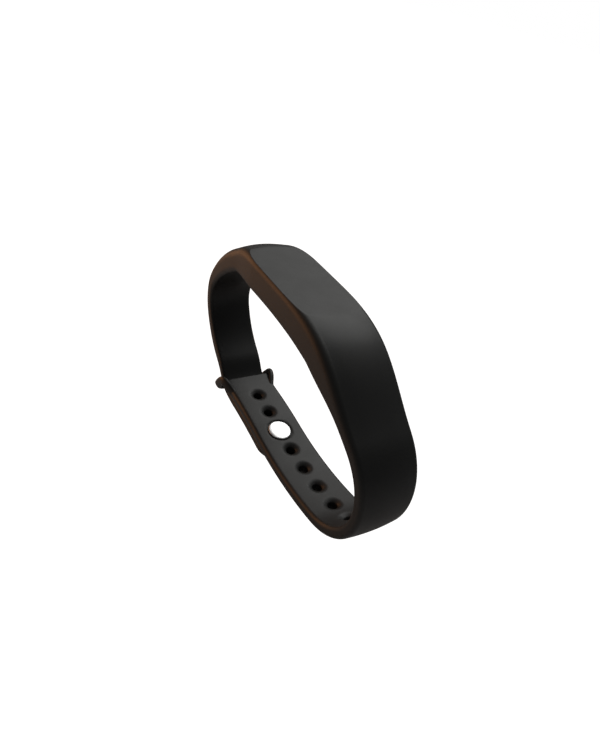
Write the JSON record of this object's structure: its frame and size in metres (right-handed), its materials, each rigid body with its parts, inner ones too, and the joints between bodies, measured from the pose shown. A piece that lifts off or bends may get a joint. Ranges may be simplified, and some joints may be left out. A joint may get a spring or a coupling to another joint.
{
  "type": "fitness tracker band",
  "caption": "Closed silicone wristband with a flat pod, a stud fastened through one hole of the long strap behind a keeper loop, and a push-out tracker core.",
  "frame": {"origin": "centre of the flat top of the pod", "axes": "+Z away from the wrist, +X across the band, -Y towards the pod end that carries the long strap with the holes"},
  "size_m": [0.018, 0.0883, 0.0516],
  "materials": {
    "silicone": "matte soft touch",
    "stud_metal": "polished",
    "core_shell": "fine texture",
    "gasket_rubber": "matte",
    "contact_gold": "gold plated",
    "board": "solder mask",
    "chip_plastic": "matte",
    "plated_can": "satin",
    "antenna_ceramic": "glazed",
    "led_body": "gloss",
    "clear_guide": "clear moulded",
    "pad_foam": "foam",
    "cell_foil": "foil",
    "rotor_metal": "sintered"
  },
  "bodies": {
    "pod": {"pod_sleeve": "silicone"},
    "long_strap": {"near_strap": "silicone"},
    "hole_end": {"hole_strap": "silicone", "stud_hole_lip": "silicone"},
    "short_strap": {"stud_strap": "silicone"},
    "tail": {"tail_strap": "silicone", "stud_cap": "stud_metal", "stud_pin": "stud_metal"},
    "core": {"core_base": "core_shell", "core_cover": "core_shell", "core_gasket": "gasket_rubber", "contact_left": "contact_gold", "contact_right": "contact_gold", "main_board": "board", "controller_chip": "chip_plastic", "motion_chip": "chip_plastic", "crystal_can": "plated_can", "chip_antenna": "antenna_ceramic", "led_a": "led_body", "led_b": "led_body", "led_c": "led_body", "light_guide": "clear_guide", "battery_pad": "pad_foam", "battery_cell": "cell_foil", "motor_can": "plated_can", "motor_shaft": "plated_can"},
    "rotor": {"motor_rotor": "rotor_metal"}
  },
  "joints": [
    {"name": "near_flex", "type": "hinge", "parent": "pod", "child": "long_strap", "pos_m": [0, -0.0215, -0.0057], "axis": [1, 0, 0], "range_deg": [-8, 8], "stiffness_Nm_per_rad": 0.05},
    {"name": "lower_flex", "type": "hinge", "parent": "long_strap", "child": "hole_end", "pos_m": [0, -0.04468, -0.03906], "axis": [1, 0, 0], "range_deg": [-6, 6], "stiffness_Nm_per_rad": 0.05},
    {"name": "far_flex", "type": "hinge", "parent": "pod", "child": "short_strap", "pos_m": [0, 0.02154, -0.00572], "axis": [1, 0, 0], "range_deg": [-7, 7], "stiffness_Nm_per_rad": 0.05},
    {"name": "tail_peel", "type": "hinge", "parent": "hole_end", "child": "tail", "pos_m": [0, 0.01653, -0.04923], "axis": [1, 0, 0], "range_deg": [0, 60], "stiffness_Nm_per_rad": 0.02, "deforming": ["stud_hole_lip"]},
    {"name": "core_push_out", "type": "slide", "parent": "pod", "child": "core", "axis": [0, 0, -1], "range_m": [0, 0.022]},
    {"name": "motor_spin", "type": "hinge", "parent": "core", "child": "rotor", "pos_m": [0, 0.0058, -0.006], "axis": [0, 0, 1], "continuous": true}
  ],
  "couplings": [
    {"joint": "lower_flex", "follows": "near_flex", "ratio": -0.69},
    {"joint": "far_flex", "follows": "near_flex", "ratio": 0.8392}
  ]
}
